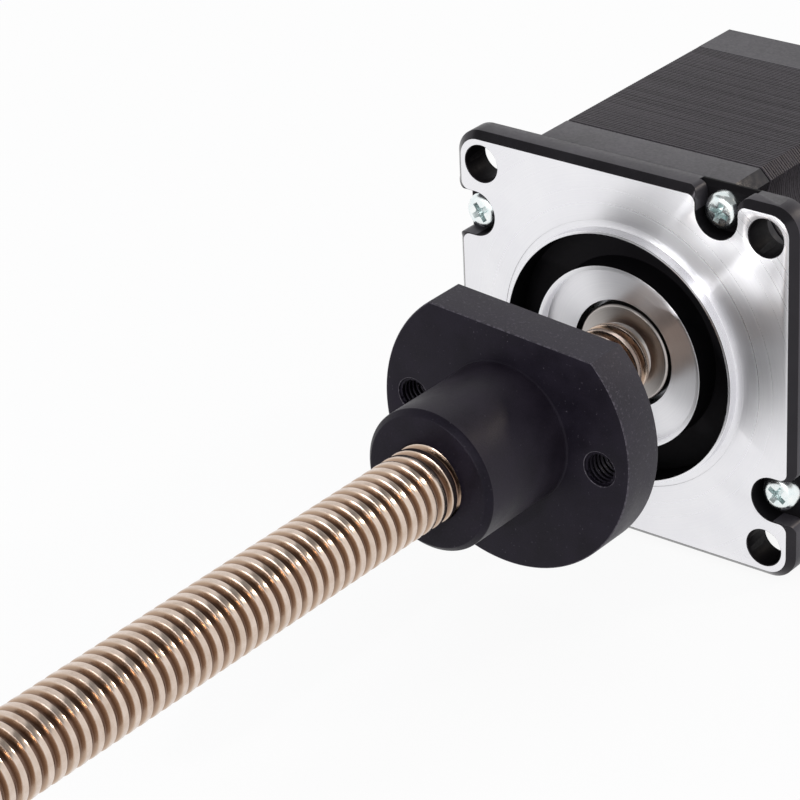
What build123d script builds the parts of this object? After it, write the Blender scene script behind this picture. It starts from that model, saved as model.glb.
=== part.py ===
from build123d import *
import math
import os

# Linear stepper motor with an external screw and nut, in millimetres.
# The screw axis is Y, with the screw towards -Y and the motor towards +Y.
# The origin is on that axis, in the plane of the mounting face. +Z is up.

# Frame size and the shape that the bells and the core share
FRAME = 56.4
HALF = FRAME / 2
TOP_FLAT = 16.0
SCALLOP_CENTRE = 23.9
SCALLOP_R = 6.9

# Stations along the axis
FLANGE_T = 4.8
CORE_FRONT = 10.8
CORE_REAR = 44.0
MOTOR_REAR = 53.4

# Mounting flange
FLANGE_CORNER_R = 4.0
FRONT_BEVEL = 1.05
REAR_BEVEL = 0.6
HOLE_SPACING = 47.14
HOLE_R = 2.75
NOTCH_X = 15.7
NOTCH_Z = 24.9
NOTCH_R = 3.35
NOTCH_DEPTH = 3.1
NOTCH_FLARE_R = 1.3

# Pilot ring, recess and bearing boss on the front face
PILOT_R = 19.05
PILOT_H = 1.5
RECESS_R = 18.6
RECESS_DEPTH = 3.0
BOSS_R = 13.76
BOSS_H = 1.25
BOSS_RIM = 0.66
BOSS_FLOOR = 0.3
BOSS_BORE_R = 8.15

# Hollows of the two bells
BELL_CAVITY_R = 25.3
HUB_R = 13.3
BELL_WALL = 2.5
REAR_RIM_BEVEL = 1.2
REAR_RECESS_DEPTH = 0.5

# Ball bearings, 8 x 22 x 7
BEARING_BORE_R = 4.0
BEARING_OUTER_R = 11.0
BEARING_WIDTH = 7.0
INNER_RING_R = 6.1
OUTER_RING_R = 9.4
BALL_R = 1.62
BALL_CIRCLE_R = (INNER_RING_R + OUTER_RING_R) / 2
BALL_COUNT = 7
SHIELD_T = 0.3
SHIELD_INSET = 0.35
SHIELD_GAP = 0.25
FRONT_BEARING_Y = 2.6
REAR_BEARING_Y = 44.3
WASHER_SPACE = 0.6
WASHER_ARCH = 0.35
WASHER_T = 0.25
WASHER_R = 10.8
WASHER_BORE_R = 8.6

# Screw, collar and journal
SCREW_R = 5.45
SCREW_END = -150.0
SCREW_CHAMFER = 1.2
COLLAR_R = 7.45
COLLAR_FRONT = 0.3
COLLAR_BACK = 2.2
RUNOUT_R = 4.7
RUNOUT_LENGTH = 0.7
RUNOUT_TAPER = 0.6
SHOULDER_R = 5.7
JOURNAL_END = 51.6

# Rotor
ROTOR_TEETH = 50
ROTOR_R = 16.4
ROTOR_ROOT_R = 15.7
ROTOR_FRONT = 11.5
CUP_LENGTH = 14.4
MAGNET_LENGTH = 3.0
MAGNET_R = 14.5
ROTOR_TOOTH_DEG = 3.4

# Stator
POLES = 8
TEETH_PER_POLE = 6
TOOTH_PITCH_DEG = 7.2
TOOTH_DEG = 3.4
STATOR_BORE_R = 16.5
TOOTH_ROOT_R = 17.2
SHOE_R = 18.7
SLOT_R = 24.1
SLOT_SIDES = 24
NECK_W = 6.0
SHOE_HALF_DEG = 20.2

# Insulators, windings and terminal board
INSULATOR_T = 1.2
INSULATOR_R = 25.0
INSULATOR_NECK_W = 6.7
INSULATOR_SHOE_R = 17.4
INSULATOR_SHOE_DEG = 19.2
POST_W = 5.0
POST_T = 0.8
COIL_WALL = 3.3
COIL_END = 2.6
COIL_BEVEL = 1.5
COIL_INNER = 19.2
COIL_OUTER = 22.8
COIL_OPENING_W = 6.8
BOARD_FRONT = 48.2
BOARD_T = 1.2
BOARD_INNER_R = 14.2
BOARD_SIDES = 16

# Screws that clamp the bells and the core
TIE_X = 15.4
TIE_Z = 25.1
TIE_R = 1.45
TIE_HOLE_R = 1.5
TIE_HEAD_R = 2.7
TIE_HEAD_H = 2.0
TIE_HEAD_BEVEL = 0.8
TIE_CROSS_L = 3.0
TIE_CROSS_W = 0.7
TIE_CROSS_DEPTH = 1.1
TIE_TURN_DEG = 20
TIE_TURN_STEP_DEG = 35
TIE_TIP = 51.5
TIE_HOLE_END = 52.0

# Lead inlet in the side wall of the rear bell
INLET_Y = 47.6
INLET_W = 4.4
INLET_L = 10.0
INLET_LIP = 0.6
INLET_LIP_DEPTH = 1.0
INLET_DEPTH = 5.0
GROMMET_DEPTH = 3.1
GROMMET_INSET = 0.2
LEAD_SLOT_W = 1.8
LEAD_SLOT_L = 8.4

# Drive nut
NUT_FLANGE_R = 20.2
NUT_REAR = -20.8
NUT_FLANGE_T = 6.8
NUT_BARREL_R = 10.2
NUT_FRONT = -44.7
NUT_FLAT = 15.2
NUT_TURN_DEG = -4.4
NUT_HOLE_CIRCLE_R = 15.5
NUT_HOLE_R = 2.5
NUT_BORE_R = SCREW_R + 0.05
NUT_CHAMFER = 0.8


def slab(outline, y_front, y_rear):
    """Solid of an outline drawn in X and Z, from one station on the axis to another."""
    return extrude(Plane.XZ.offset(-y_front) * outline, amount=y_front - y_rear)


def turned(*profile):
    """Solid of revolution about the screw axis, from (radius, y) points."""
    return revolve(make_face(Polyline(*profile, close=True)), Axis.Y)


def tube(r_outer, r_inner, y_front, y_rear):
    return slab(Circle(r_outer) - Circle(r_inner), y_front, y_rear)


def quarter_turns(x, z):
    """The four places that follow each other by quarter turns, as on a pinwheel."""
    return [(x, z), (-z, x), (-x, -z), (z, -x)]


def save(node, shape):
    shape.label = node
    export_step(shape, f"parts/{node}.step")


# Shared outline of the bells and the core
def body_outline():
    outline = Rectangle(FRAME, FRAME)
    corner = Polygon((TOP_FLAT, HALF), (HALF, HALF), (HALF, TOP_FLAT), align=None)
    corner += Pos(SCALLOP_CENTRE, SCALLOP_CENTRE) * Circle(SCALLOP_R)
    for turn in range(4):
        outline -= Rot(0, 0, 90 * turn) * corner
    return outline


def eight_sided(radius):
    return Rot(0, 0, 22.5) * RegularPolygon(radius, 8, major_radius=False)


# Long holes of the clamp screws, eight-sided to stay light
def tie_holes():
    return [Pos(x, z) * eight_sided(TIE_HOLE_R) for x, z in quarter_turns(TIE_X, TIE_Z)]


# Mounting flange, with four U notches open to its edges
def notched_outline():
    outline = RectangleRounded(FRAME, FRAME, FLANGE_CORNER_R)
    slot_length = 2 * (HALF - NOTCH_Z) + 2
    notch = Circle(NOTCH_R) + Pos(0, slot_length / 2) * Rectangle(2 * NOTCH_R, slot_length)
    notch = Pos(NOTCH_X, NOTCH_Z) * notch
    for turn in range(4):
        outline -= Rot(0, 0, 90 * turn) * notch
    mouths = []
    for side in (NOTCH_X - NOTCH_R, NOTCH_X + NOTCH_R):
        mouths += quarter_turns(side, HALF)
    corners = [v for v in outline.vertices() if any(math.dist((v.X, v.Y), m) < 0.01 for m in mouths)]
    return fillet(corners, NOTCH_FLARE_R)


def edges_at(body, y):
    return body.edges().filter_by_position(Axis.Y, y - 0.01, y + 0.01)


def mounting_flange():
    plate = slab(RectangleRounded(FRAME, FRAME, FLANGE_CORNER_R), 0, FLANGE_T)
    plate = chamfer(edges_at(plate, 0), FRONT_BEVEL)
    plate = chamfer(edges_at(plate, FLANGE_T), REAR_BEVEL)
    notches = slab(Rectangle(2 * FRAME, 2 * FRAME) - notched_outline(), 0, NOTCH_DEPTH)
    return plate - notches


def bearing_seat(y_front, y_rear):
    return slab(Circle(BEARING_OUTER_R), y_front, y_rear)


def front_housing():
    body = mounting_flange() + slab(body_outline(), FLANGE_T - REAR_BEVEL, CORE_FRONT)
    body += tube(PILOT_R, RECESS_R, -PILOT_H, 1)
    cavity_front = RECESS_DEPTH + BELL_WALL
    body -= slab(Circle(RECESS_R), 0, RECESS_DEPTH)
    body -= slab(Circle(BELL_CAVITY_R), cavity_front, CORE_FRONT)
    boss_wall = BOSS_R - BOSS_RIM
    body += turned(
        (BOSS_BORE_R, BOSS_FLOOR),
        (boss_wall, BOSS_FLOOR),
        (boss_wall, -BOSS_H),
        (BOSS_R, -BOSS_H),
        (BOSS_R, cavity_front),
        (HUB_R, cavity_front),
        (HUB_R, FRONT_BEARING_Y + BEARING_WIDTH),
        (BEARING_OUTER_R, FRONT_BEARING_Y + BEARING_WIDTH),
        (BEARING_OUTER_R, FRONT_BEARING_Y),
        (BOSS_BORE_R, FRONT_BEARING_Y),
    )
    body -= bearing_seat(FRONT_BEARING_Y, CORE_FRONT)
    spacing = HOLE_SPACING / 2
    for x, z in quarter_turns(spacing, spacing):
        body -= slab(Pos(x, z) * Circle(HOLE_R), 0, FLANGE_T)
    for hole in tie_holes():
        body -= slab(hole, NOTCH_DEPTH, CORE_FRONT)
    return body


def lead_opening(depth, margin):
    """Opening in the -X wall of the rear bell, its depth measured from the face of that wall."""
    outline = Rectangle(INLET_W + 2 * margin, INLET_L + 2 * margin)
    plane = Plane((-HALF, INLET_Y, 0), x_dir=(0, 1, 0), z_dir=(1, 0, 0))
    return extrude(plane * outline, amount=depth)


def rear_housing():
    body = slab(body_outline(), CORE_REAR, MOTOR_REAR)
    body = chamfer(edges_at(body, MOTOR_REAR), REAR_RIM_BEVEL)
    wall_front = MOTOR_REAR - BELL_WALL
    body -= tube(BELL_CAVITY_R, HUB_R, CORE_REAR, wall_front)
    body -= slab(Circle(HUB_R), CORE_REAR, REAR_BEARING_Y)
    body -= bearing_seat(REAR_BEARING_Y, REAR_BEARING_Y + BEARING_WIDTH + WASHER_SPACE)
    body -= slab(Circle(BEARING_OUTER_R), MOTOR_REAR - REAR_RECESS_DEPTH, MOTOR_REAR)
    for hole in tie_holes():
        body -= slab(hole, CORE_REAR, TIE_HOLE_END)
    body -= lead_opening(INLET_DEPTH, 0)
    body -= lead_opening(INLET_LIP_DEPTH, INLET_LIP)
    return body


def polar(radius, degrees):
    return (radius * math.cos(math.radians(degrees)), radius * math.sin(math.radians(degrees)))


def bow(radius, half_deg):
    """Points of an arc in three straight runs."""
    return [polar(radius, half_deg * third) for third in (-1, -1 / 3, 1 / 3, 1)]


def pole_neck(r_inner, width):
    """Bar of a pole, from inside its shoe to inside the ring round the slots."""
    length = SLOT_R + 0.3 - r_inner
    return Pos(r_inner + length / 2, 0) * Rectangle(length, width)


# One stator pole: neck, shoe and the fine teeth that face the rotor
def pole_shoe():
    points = []
    for tooth in range(TEETH_PER_POLE):
        middle = (tooth - (TEETH_PER_POLE - 1) / 2) * TOOTH_PITCH_DEG
        low = middle - TOOTH_DEG / 2
        high = middle + TOOTH_DEG / 2
        points += [polar(TOOTH_ROOT_R, low), polar(STATOR_BORE_R, low)]
        points += [polar(STATOR_BORE_R, high), polar(TOOTH_ROOT_R, high)]
    back = bow(SHOE_R, SHOE_HALF_DEG)[::-1]
    return make_face(Polyline(*points, *back, close=True))


def stator_stack():
    outline = body_outline() - RegularPolygon(SLOT_R, SLOT_SIDES)
    pole = pole_shoe() + pole_neck(SHOE_R - 0.3, NECK_W)
    for index in range(POLES):
        outline += Rot(0, 0, index * 360 / POLES) * pole
    for hole in tie_holes():
        outline -= hole
    return slab(outline, CORE_FRONT, CORE_REAR)


def insulator_outline():
    outline = RegularPolygon(INSULATOR_R, SLOT_SIDES) - RegularPolygon(SLOT_R, SLOT_SIDES)
    inner = bow(INSULATOR_SHOE_R, INSULATOR_SHOE_DEG)
    outer = bow(SHOE_R, INSULATOR_SHOE_DEG)[::-1]
    shoe = make_face(Polyline(*inner, *outer, close=True))
    pole = shoe + pole_neck(INSULATOR_SHOE_R + 0.3, INSULATOR_NECK_W)
    for index in range(POLES):
        outline += Rot(0, 0, index * 360 / POLES) * pole
    return outline


def front_insulator():
    return slab(insulator_outline(), CORE_FRONT - INSULATOR_T, CORE_FRONT)


def rear_insulator():
    """The rear end frame, with a post behind each pole that carries the terminal board."""
    body = slab(insulator_outline(), CORE_REAR, CORE_REAR + INSULATOR_T)
    post = slab(Pos(SLOT_R + POST_T / 2, 0) * Rectangle(POST_T, POST_W), CORE_REAR, BOARD_FRONT)
    for index in range(POLES):
        body += Rot(0, index * 360 / POLES, 0) * post
    return body


def stator_coil(index):
    window_l = CORE_REAR - CORE_FRONT + 2 * INSULATOR_T
    outer = Rectangle(COIL_OPENING_W + 2 * COIL_WALL, window_l + 2 * COIL_END)
    outer = chamfer(outer.vertices(), COIL_BEVEL)
    window = Rectangle(COIL_OPENING_W, window_l)
    middle = (CORE_FRONT + CORE_REAR) / 2
    plane = Plane((COIL_INNER, middle, 0), x_dir=(0, 0, 1), z_dir=(1, 0, 0))
    coil = extrude(plane * (outer - window), amount=COIL_OUTER - COIL_INNER)
    return Rot(0, index * 360 / POLES, 0) * coil


def terminal_board():
    outline = RegularPolygon(INSULATOR_R, BOARD_SIDES)
    outline -= RegularPolygon(BOARD_INNER_R, BOARD_SIDES, major_radius=False)
    return slab(outline, BOARD_FRONT, BOARD_FRONT + BOARD_T)


def lead_grommet():
    """Rubber inlet with one flat slot for the leads."""
    grommet = lead_opening(INLET_LIP_DEPTH, INLET_LIP) + lead_opening(GROMMET_DEPTH, 0)
    grommet -= Pos(-HALF, INLET_Y, 0) * Box(2 * GROMMET_INSET, 2 * INLET_L, 2 * INLET_L)
    return grommet - Pos(-HALF, INLET_Y, 0) * Box(3 * GROMMET_DEPTH, LEAD_SLOT_W, LEAD_SLOT_L)


# Long pan-head screws, with a cross recess in each head
def tie_screw():
    head_front = NOTCH_DEPTH - TIE_HEAD_H
    screw = turned(
        (0, head_front),
        (TIE_HEAD_R - TIE_HEAD_BEVEL, head_front),
        (TIE_HEAD_R, head_front + TIE_HEAD_BEVEL),
        (TIE_HEAD_R, NOTCH_DEPTH),
        (TIE_R, NOTCH_DEPTH),
        (TIE_R, TIE_TIP),
        (0, TIE_TIP),
    )
    cross = Rectangle(TIE_CROSS_L, TIE_CROSS_W) + Rectangle(TIE_CROSS_W, TIE_CROSS_L)
    return screw - slab(cross, head_front, head_front + TIE_CROSS_DEPTH)


def assembly_screws():
    screw = tie_screw()
    places = quarter_turns(TIE_X, TIE_Z)
    turns = [TIE_TURN_DEG + TIE_TURN_STEP_DEG * n for n in range(len(places))]
    return Compound(children=[Pos(x, 0, z) * Rot(0, turn, 0) * screw for (x, z), turn in zip(places, turns)])


# Ball bearings, with plain rings and balls of eight-sided section
def outer_ring(y_front):
    return tube(BEARING_OUTER_R, OUTER_RING_R, y_front, y_front + BEARING_WIDTH)


def inner_ring(y_front):
    return tube(INNER_RING_R, BEARING_BORE_R, y_front, y_front + BEARING_WIDTH)


def bearing_shields(y_front):
    first = y_front + SHIELD_INSET
    last = y_front + BEARING_WIDTH - SHIELD_INSET - SHIELD_T
    shields = [tube(OUTER_RING_R, INNER_RING_R + SHIELD_GAP, y, y + SHIELD_T) for y in (first, last)]
    return Compound(children=shields)


def bearing_balls(y_front):
    planes = (Plane.XY, Plane.YZ, Plane.XZ)
    bars = [extrude(plane * eight_sided(BALL_R), amount=BALL_R, both=True) for plane in planes]
    ball = Pos(BALL_CIRCLE_R, y_front + BEARING_WIDTH / 2, 0) * (bars[0] & bars[1] & bars[2])
    return Compound(children=[Rot(0, index * 360 / BALL_COUNT, 0) * ball for index in range(BALL_COUNT)])


def wave_washer():
    """Curved spring washer between the rear bearing and the end wall."""
    rear = REAR_BEARING_Y + BEARING_WIDTH + WASHER_SPACE
    side = rear - WASHER_T
    arch = ThreePointArc((-BEARING_OUTER_R, side), (0, side - WASHER_ARCH), (BEARING_OUTER_R, side))
    upper = Pos(0, WASHER_T, 0) * arch
    strip = make_face([arch, upper, Line(arch @ 0, upper @ 0), Line(arch @ 1, upper @ 1)])
    band = extrude(strip, amount=BEARING_OUTER_R, both=True)
    return band & tube(WASHER_R, WASHER_BORE_R, rear - 1, rear + 1)


# Rotor and screw
def rotor_cup(y_front, turn_deg):
    points = []
    pitch = 360 / ROTOR_TEETH
    for tooth in range(ROTOR_TEETH):
        low = tooth * pitch + turn_deg - ROTOR_TOOTH_DEG / 2
        high = low + ROTOR_TOOTH_DEG
        points += [polar(ROTOR_ROOT_R, low), polar(ROTOR_R, low)]
        points += [polar(ROTOR_R, high), polar(ROTOR_ROOT_R, high)]
    outline = make_face(Polyline(*points, close=True)) - Circle(BEARING_BORE_R)
    return slab(outline, y_front, y_front + CUP_LENGTH)


def lead_screw():
    return turned(
        (0, SCREW_END),
        (SCREW_R - SCREW_CHAMFER, SCREW_END),
        (SCREW_R, SCREW_END + SCREW_CHAMFER),
        (SCREW_R, COLLAR_FRONT - RUNOUT_LENGTH - RUNOUT_TAPER),
        (RUNOUT_R, COLLAR_FRONT - RUNOUT_LENGTH),
        (RUNOUT_R, COLLAR_FRONT),
        (COLLAR_R, COLLAR_FRONT),
        (COLLAR_R, COLLAR_BACK),
        (SHOULDER_R, COLLAR_BACK),
        (SHOULDER_R, FRONT_BEARING_Y),
        (BEARING_BORE_R, FRONT_BEARING_Y),
        (BEARING_BORE_R, JOURNAL_END),
        (0, JOURNAL_END),
    )


def drive_nut():
    flange_front = NUT_REAR - NUT_FLANGE_T
    nut = turned(
        (NUT_BORE_R, NUT_FRONT),
        (NUT_BARREL_R - NUT_CHAMFER, NUT_FRONT),
        (NUT_BARREL_R, NUT_FRONT + NUT_CHAMFER),
        (NUT_BARREL_R, flange_front),
        (NUT_FLANGE_R, flange_front),
        (NUT_FLANGE_R, NUT_REAR),
        (NUT_BORE_R, NUT_REAR),
    )
    above_flat = Pos(0, NUT_FLAT + NUT_FLANGE_R / 2) * Rectangle(3 * NUT_FLANGE_R, NUT_FLANGE_R)
    nut -= slab(above_flat, flange_front, NUT_REAR)
    for x in (-NUT_HOLE_CIRCLE_R, NUT_HOLE_CIRCLE_R):
        nut -= slab(Pos(x, 0) * Circle(NUT_HOLE_R), flange_front, NUT_REAR)
    return Rot(0, -NUT_TURN_DEG, 0) * nut


os.makedirs("parts", exist_ok=True)

save("front_housing", front_housing())
save("rear_housing", rear_housing())
save("stator_stack", stator_stack())
save("front_insulator", front_insulator())
save("rear_insulator", rear_insulator())
for coil_index in range(POLES):
    save(f"stator_coil_{coil_index + 1}", stator_coil(coil_index))
save("terminal_board", terminal_board())
save("lead_grommet", lead_grommet())
save("assembly_screws", assembly_screws())
save("wave_washer", wave_washer())

for place, bearing_y in (("front", FRONT_BEARING_Y), ("rear", REAR_BEARING_Y)):
    save(f"{place}_bearing_outer_ring", outer_ring(bearing_y))
    save(f"{place}_bearing_inner_ring", inner_ring(bearing_y))
    save(f"{place}_bearing_shields", bearing_shields(bearing_y))
    save(f"{place}_bearing_balls", bearing_balls(bearing_y))

magnet_y = ROTOR_FRONT + CUP_LENGTH
rear_cup_y = magnet_y + MAGNET_LENGTH
rotor_rear = rear_cup_y + CUP_LENGTH
save("lead_screw", lead_screw())
save("rotor_cup_front", rotor_cup(ROTOR_FRONT, 0))
save("rotor_magnet", tube(MAGNET_R, BEARING_BORE_R, magnet_y, rear_cup_y))
save("rotor_cup_rear", rotor_cup(rear_cup_y, 180 / ROTOR_TEETH))
save("rotor_spacer_front", tube(INNER_RING_R, BEARING_BORE_R, FRONT_BEARING_Y + BEARING_WIDTH, ROTOR_FRONT))
save("rotor_spacer_rear", tube(INNER_RING_R, BEARING_BORE_R, rotor_rear, REAR_BEARING_Y))
save("drive_nut", drive_nut())
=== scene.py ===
import math

import bmesh
import bpy
from mathutils import Matrix, Vector


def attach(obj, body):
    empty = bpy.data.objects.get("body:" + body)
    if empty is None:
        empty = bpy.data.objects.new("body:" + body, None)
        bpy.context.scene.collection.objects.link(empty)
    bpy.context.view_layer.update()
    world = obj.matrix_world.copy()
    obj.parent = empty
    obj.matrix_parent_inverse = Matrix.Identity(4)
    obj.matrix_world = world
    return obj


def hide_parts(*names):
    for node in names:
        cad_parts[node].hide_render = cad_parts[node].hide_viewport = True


# Linear stepper motor dressed over its CAD frame. Lengths are in millimetres and turned into metres
# when a mesh is made. The screw axis is Y, the mounting face is the plane y = 0, and +Z is up.

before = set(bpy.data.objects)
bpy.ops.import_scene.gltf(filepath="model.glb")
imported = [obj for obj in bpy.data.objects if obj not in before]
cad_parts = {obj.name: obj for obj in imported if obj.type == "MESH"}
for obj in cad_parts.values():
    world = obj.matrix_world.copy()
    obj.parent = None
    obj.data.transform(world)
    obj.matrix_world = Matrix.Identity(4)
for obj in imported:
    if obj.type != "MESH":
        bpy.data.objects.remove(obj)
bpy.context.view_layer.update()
MM = 0.001

# Sizes shared with the CAD model
HALF = 28.2
TOP_FLAT = 16.0
SCALLOP_CENTRE = 23.9
SCALLOP_R = 6.9
FLANGE_T = 4.8
CORE_FRONT = 10.8
CORE_REAR = 44.0
CORNER_R = 4.0
FRONT_BEVEL = 1.05
REAR_BEVEL = 0.6
NOTCH_EDGE = 0.1
JOINT_GAP = 0.36
NOTCH_X = 15.7
NOTCH_Z = 24.9
NOTCH_R = 3.35
NOTCH_DEPTH = 3.1
NOTCH_FLARE_R = 1.3
HOLE_PLACE = 23.57
HOLE_R = 2.75
PILOT_R = 19.05
RECESS_R = 18.6
GROOVE_R = 20.1
BOSS_R = 13.76
BELL_CAVITY_R = 25.3
HUB_R = 13.3
BEARING_R = 11.0
FRONT_BEARING_Y = 2.6
TIE_X = 15.4
TIE_Z = 24.9
TIE_HEAD_R = 2.65
TIE_R = 1.45
SCREW_R = 5.45
SCREW_END = -150.0
LEAD = 25.4 / 12
NUT_REAR = -20.8
NUT_FLANGE_FRONT = -27.6
NUT_FRONT = -44.7
NUT_FLANGE_R = 20.2
NUT_BARREL_R = 10.2
NUT_FLAT = 15.2
NUT_BORE_R = 5.5
NUT_TURN = math.radians(4.4)

# Front housing: edges of its notches and holes, pilot ring, recess, boss and hub
NOTCH_MOUTH_EDGE = 0.7
HOLE_FRONT_EDGE = 0.12
HOLE_REAR_EDGE = 0.1
PILOT_H = 1.5
RECESS_DEPTH = 3.0
GROOVE_DEPTH = 0.03
BOSS_RIM_R = 13.1
BOSS_H = 1.25
BOSS_FLOOR = 0.3
BOSS_BORE_R = 8.15
BELL_CAVITY_Y = 5.5
HUB_END = 9.6

# Core sheets
SHEETS = 66
SHEET_BORE_R = 24.1
SHEET_EDGE = 0.12
SHEET_INSET = 0.02

# Clamp screws
TIE_CROWN = NOTCH_DEPTH - 2.0
TIE_RECESS_DEPTH = 1.2
TIE_TIP = 51.5

# Lead screw
SCREW_CHAMFER = 1.2
THREAD_DEPTH = 0.82
RUNOUT_R = 4.7
COLLAR_R = 7.45
COLLAR_FRONT = 0.3
COLLAR_BACK = 2.2
SHOULDER_R = 5.7
JOURNAL_R = 4.0
JOURNAL_END = 51.6

# Drive nut
NUT_EDGE = 0.16
NUT_CHAMFER = 0.8
NUT_ROOT = 0.25
TAPPED_X = 15.5
TAPPED_R = 2.5
TAPPED_EDGE = 0.12
TAPPED_DEPTH = 0.36
TAPPED_PITCH = 0.8

# Steps of curved outlines
FLARE_STEPS = 10
NOTCH_STEPS = 36
CORNER_STEPS = 20
ROUND_STEPS = 192

# Material slots of the pieces that have more than one
FACE, GLOSS, SATIN, RECESS = range(4)
FRONT, RIM, BARREL, EDGE = range(4)
COLLAR = 1
CROSS = 1


# Outlines are lists of (x, z) points. An outer one runs anticlockwise seen from the screw end,
# a hole clockwise.
def arc(cx, cz, radius, start, end, steps):
    angles = [math.radians(start + (end - start) * n / steps) for n in range(steps + 1)]
    return [(cx + radius * math.cos(a), cz + radius * math.sin(a)) for a in angles]


def ring(radius, steps, centre=(0, 0)):
    return arc(*centre, radius, 0, 360, steps)[:-1]


def hole(radius, centre, steps=48):
    return ring(radius, steps, centre)[::-1]


def four_sides(side):
    """A side's points, repeated at the four quarter turns."""
    points = []
    for _ in range(4):
        points += side
        side = [(-z, x) for x, z in side]
    return points


def without_doubles(points):
    kept = []
    for point in points:
        if not kept or math.dist(point, kept[-1]) > 1e-4:
            kept.append(point)
    if math.dist(kept[0], kept[-1]) < 1e-4:
        kept.pop()
    return kept


def notched_square(edge=0.0, notch_edge=0.0):
    """Outline of the flange with its notches, drawn in by edge, and by notch_edge in the notches."""
    right = NOTCH_X + NOTCH_R
    left = NOTCH_X - NOTCH_R
    flare_r = NOTCH_FLARE_R - notch_edge
    flare_z = HALF - edge - flare_r
    side = arc(right + NOTCH_FLARE_R, flare_z, flare_r, 90, 180, FLARE_STEPS)
    side += arc(NOTCH_X, NOTCH_Z, NOTCH_R + notch_edge, 0, -180, NOTCH_STEPS)
    side += arc(left - NOTCH_FLARE_R, flare_z, flare_r, 0, 90, FLARE_STEPS)
    side += arc(CORNER_R - HALF, HALF - CORNER_R, CORNER_R - edge, 90, 180, CORNER_STEPS)
    return four_sides(side)


def notched_square_depths():
    """Depth of the front edge at each point of that outline, slight in the notches."""
    fall = [FRONT_BEVEL + (NOTCH_EDGE - FRONT_BEVEL) * n / FLARE_STEPS for n in range(FLARE_STEPS + 1)]
    notch = [NOTCH_EDGE] * (NOTCH_STEPS + 1)
    corner = [FRONT_BEVEL] * (CORNER_STEPS + 1)
    return 4 * (fall + notch + fall[::-1] + corner)


def rounded_square(mouth_edge=0.0):
    """Outline of the flange behind its notches, drawn in by mouth_edge where they open."""
    right = NOTCH_X + NOTCH_R + NOTCH_FLARE_R
    left = NOTCH_X - NOTCH_R - NOTCH_FLARE_R
    mouth_z = HALF - mouth_edge
    side = [(right, HALF), (right - 0.05, mouth_z), (left + 0.05, mouth_z), (left, HALF)]
    side += arc(CORNER_R - HALF, HALF - CORNER_R, CORNER_R, 90, 180, CORNER_STEPS)
    return four_sides(side)


def rounded_square_depths():
    """Depth of the front edge at each point of that outline, none outside the mouths."""
    mouth = [0.0, NOTCH_MOUTH_EDGE, NOTCH_MOUTH_EDGE, 0.0]
    return 4 * (mouth + [0.0] * (CORNER_STEPS + 1))


def scalloped_square(inset=0.0):
    """Outline of the bells and the core, with its four hollow corners."""
    foot = (2 * SCALLOP_CENTRE - HALF - TOP_FLAT) / math.sqrt(2)
    reach = math.degrees(math.acos(foot / SCALLOP_R))
    side = [(HALF, TOP_FLAT)]
    side += arc(SCALLOP_CENTRE, SCALLOP_CENTRE, SCALLOP_R, 225 + reach, 225 - reach, 28)
    side += [(TOP_FLAT, HALF)]
    points = without_doubles(four_sides(side))
    return [(x - inset * x / HALF, z - inset * z / HALF) for x, z in points]


def outward_normals(loop):
    """Directions away from the material, lengthened at corners so that an offset keeps its width."""
    count = len(loop)
    normals = []
    for n in range(count):
        before, here, after = loop[n - 1], loop[n], loop[(n + 1) % count]
        a = Vector((here[0] - before[0], here[1] - before[1])).normalized()
        b = Vector((after[0] - here[0], after[1] - here[1])).normalized()
        middle = (a + b).normalized()
        stretch = 1 / max(0.5, middle.dot(a))
        normals.append((middle.y * stretch, -middle.x * stretch))
    return normals


# Meshes
def add_ring(bm, loop, y):
    return [bm.verts.new((x * MM, y * MM, z * MM)) for x, z in loop]


def add_band(bm, first, second, slot):
    for n in range(len(first)):
        m = (n + 1) % len(first)
        bm.faces.new((first[n], first[m], second[m], second[n])).material_index = slot


def add_cap(bm, rings, slot):
    edges = []
    for verts in rings:
        for n in range(len(verts)):
            pair = (verts[n - 1], verts[n])
            edges.append(bm.edges.get(pair) or bm.edges.new(pair))
    filled = bmesh.ops.triangle_fill(bm, edges=edges, use_beauty=True, use_dissolve=False)
    for item in filled["geom"]:
        if isinstance(item, bmesh.types.BMFace):
            item.material_index = slot


# Forms of an edge from the face to the wall, as shares of its width and of its depth
ROUNDED = [(1 - math.sin(math.pi * n / 10), 1 - math.cos(math.pi * n / 10)) for n in range(6)]
BEVELLED = [(1.0, 0.0), (0.96, 0.015), (0.92, 0.05), (0.05, 0.92), (0.015, 0.96), (0.0, 1.0)]
STRAIGHT = [(1, 0), (0, 1)]


def drawn_in(loop, reach):
    return [(p[0] - nx * reach, p[1] - nz * reach) for p, (nx, nz) in zip(loop, outward_normals(loop))]


def edge_rings(bm, loop, edge, y, direction, form):
    """Rings from a face to the wall behind it. edge is a radius, or the face's outline with a depth
    for each of its points."""
    if not edge:
        return [add_ring(bm, loop, y)]
    face, depths = edge if isinstance(edge, tuple) else (drawn_in(loop, edge), [edge] * len(loop))
    rings = []
    for inward, along in form:
        verts = []
        for wall, rim, depth in zip(loop, face, depths):
            x = wall[0] + (rim[0] - wall[0]) * inward
            z = wall[1] + (rim[1] - wall[1]) * inward
            verts.append(bm.verts.new((x * MM, (y + direction * depth * along) * MM, z * MM)))
        rings.append(verts)
    return rings


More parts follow.
